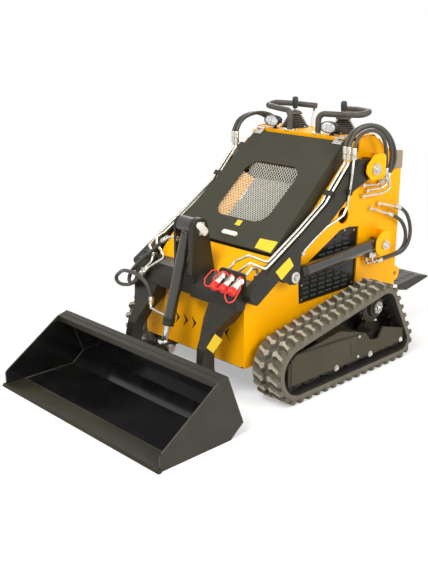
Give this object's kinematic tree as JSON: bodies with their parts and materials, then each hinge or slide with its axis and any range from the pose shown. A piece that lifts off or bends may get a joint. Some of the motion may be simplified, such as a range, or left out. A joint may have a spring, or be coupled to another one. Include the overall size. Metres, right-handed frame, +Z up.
{
  "type": "stand-on mini track loader",
  "caption": "Compact stand-on loader on rubber tracks, with hydraulic lift arms, a wide tipping bucket, a sloping mesh-windowed hood and a rear standing platform.",
  "frame": {"origin": "on the ground, in the middle of the machine's width and near the middle of its length", "axes": "-Y is the way the machine faces, +X is its left side, +Z is up"},
  "size_m": [1.1, 2.104, 1.219],
  "materials": {
    "body_yellow": "semi-gloss powder coat",
    "frame_black": "satin powder coat",
    "bucket_black": "gloss paint",
    "track_rubber": "dusty rubber",
    "bright_steel": "zinc plated",
    "rod_chrome": "polished",
    "engine_grey": "matt",
    "lamp_black": "moulded",
    "lever_rubber": "soft rubber",
    "mesh_steel": "perforated mesh",
    "tube_steel": "zinc plated",
    "hose_rubber": "smooth hose",
    "cap_red": "soft plastic cap"
  },
  "bodies": {
    "chassis": {"track_left": "track_rubber", "track_right": "track_rubber", "rollers_left": "frame_black", "rollers_right": "frame_black", "sprocket_left": "frame_black", "sprocket_right": "frame_black", "track_frame_left": "frame_black", "track_frame_right": "frame_black", "side_plate_left": "body_yellow", "side_plate_right": "body_yellow", "tower_left": "body_yellow", "tower_right": "body_yellow", "tower_pins": "bright_steel", "front_panel": "body_yellow", "front_cowl": "body_yellow", "floor_frame": "frame_black", "rear_panel": "body_yellow", "top_deck": "body_yellow", "engine_block": "engine_grey", "side_grilles": "frame_black", "lamps": "lamp_black", "control_levers": "lever_rubber", "hand_bars": "frame_black", "deck_hinges": "bright_steel", "side_pads": "lever_rubber", "frame_tubes": "tube_steel", "arch_hoses": "hose_rubber", "lift_hoses_left": "hose_rubber", "lift_hoses_right": "hose_rubber"},
    "lift_arms": {"arm_left": "frame_black", "arm_right": "frame_black", "cross_member": "frame_black", "arm_pins": "bright_steel", "arm_tubes": "tube_steel", "tube_clamps": "frame_black", "coupler_bracket": "frame_black", "couplers": "bright_steel", "coupler_caps": "cap_red", "tilt_hoses": "hose_rubber", "cap_leashes": "cap_red"},
    "bucket": {"bucket_shell": "bucket_black", "cutting_edge": "bucket_black", "attach_plate": "frame_black", "bucket_pins": "bright_steel"},
    "lift_barrel_left": {"lift_barrel_left": "frame_black", "lift_ports_left": "tube_steel"},
    "lift_barrel_right": {"lift_barrel_right": "frame_black", "lift_ports_right": "tube_steel"},
    "lift_rod_left": {"lift_rod_left": "rod_chrome"},
    "lift_rod_right": {"lift_rod_right": "rod_chrome"},
    "tilt_barrel": {"tilt_barrel": "frame_black", "tilt_ports": "tube_steel"},
    "tilt_rod": {"tilt_rod": "rod_chrome"},
    "hood": {"hood_panel": "frame_black", "hood_mesh": "mesh_steel", "hood_fittings": "bright_steel"},
    "platform": {"platform": "frame_black"}
  },
  "joints": [
    {"name": "arm_lift", "type": "hinge", "parent": "chassis", "child": "lift_arms", "pos_m": [0, 0.397, 0.934], "axis": [-1, 0, 0], "range_deg": [0, 80], "deforming": ["arch_hoses"]},
    {"name": "bucket_tilt", "type": "hinge", "parent": "lift_arms", "child": "bucket", "pos_m": [0, -0.492, 0.085], "axis": [1, 0, 0], "range_deg": [-20, 115]},
    {"name": "hood_open", "type": "hinge", "parent": "chassis", "child": "hood", "pos_m": [0, 0.32247, 1.0661], "axis": [-1, 0, 0], "range_deg": [0, 55]},
    {"name": "platform_fold", "type": "hinge", "parent": "chassis", "child": "platform", "pos_m": [0, 0.772, 0.262], "axis": [1, 0, 0], "range_deg": [0, 80]},
    {"name": "tilt_barrel_turn", "type": "hinge", "parent": "lift_arms", "child": "tilt_barrel", "pos_m": [0, -0.39, 0.737], "axis": [1, 0, 0], "range_deg": [-3, 3], "deforming": ["tilt_hoses"]},
    {"name": "tilt_rod_slide", "type": "slide", "parent": "tilt_barrel", "child": "tilt_rod", "axis": [0, -0.2857, -0.9583], "range_m": [-0.045, 0.25]},
    {"name": "lift_barrel_left_turn", "type": "hinge", "parent": "chassis", "child": "lift_barrel_left", "pos_m": [0.36, 0.5, 0.56], "axis": [-1, 0, 0], "range_deg": [0, 58], "deforming": ["lift_hoses_left"]},
    {"name": "lift_rod_left_slide", "type": "slide", "parent": "lift_barrel_left", "child": "lift_rod_left", "axis": [0, -0.9984, -0.0562], "range_m": [0, 0.388]},
    {"name": "lift_barrel_right_turn", "type": "hinge", "parent": "chassis", "child": "lift_barrel_right", "pos_m": [-0.36, 0.5, 0.56], "axis": [-1, 0, 0], "range_deg": [0, 58], "deforming": ["lift_hoses_right"]},
    {"name": "lift_rod_right_slide", "type": "slide", "parent": "lift_barrel_right", "child": "lift_rod_right", "axis": [0, -0.9984, -0.0562], "range_m": [0, 0.388]}
  ],
  "couplings": [
    {"joint": "tilt_barrel_turn", "follows": "bucket_tilt", "ratio": -0.02},
    {"joint": "tilt_rod_slide", "follows": "bucket_tilt", "m_per_rad": 0.124},
    {"joint": "lift_barrel_left_turn", "follows": "arm_lift", "ratio": 0.7127},
    {"joint": "lift_rod_left_slide", "follows": "arm_lift", "m_per_rad": 0.27638},
    {"joint": "lift_barrel_right_turn", "follows": "arm_lift", "ratio": 0.7127},
    {"joint": "lift_rod_right_slide", "follows": "arm_lift", "m_per_rad": 0.27638}
  ]
}
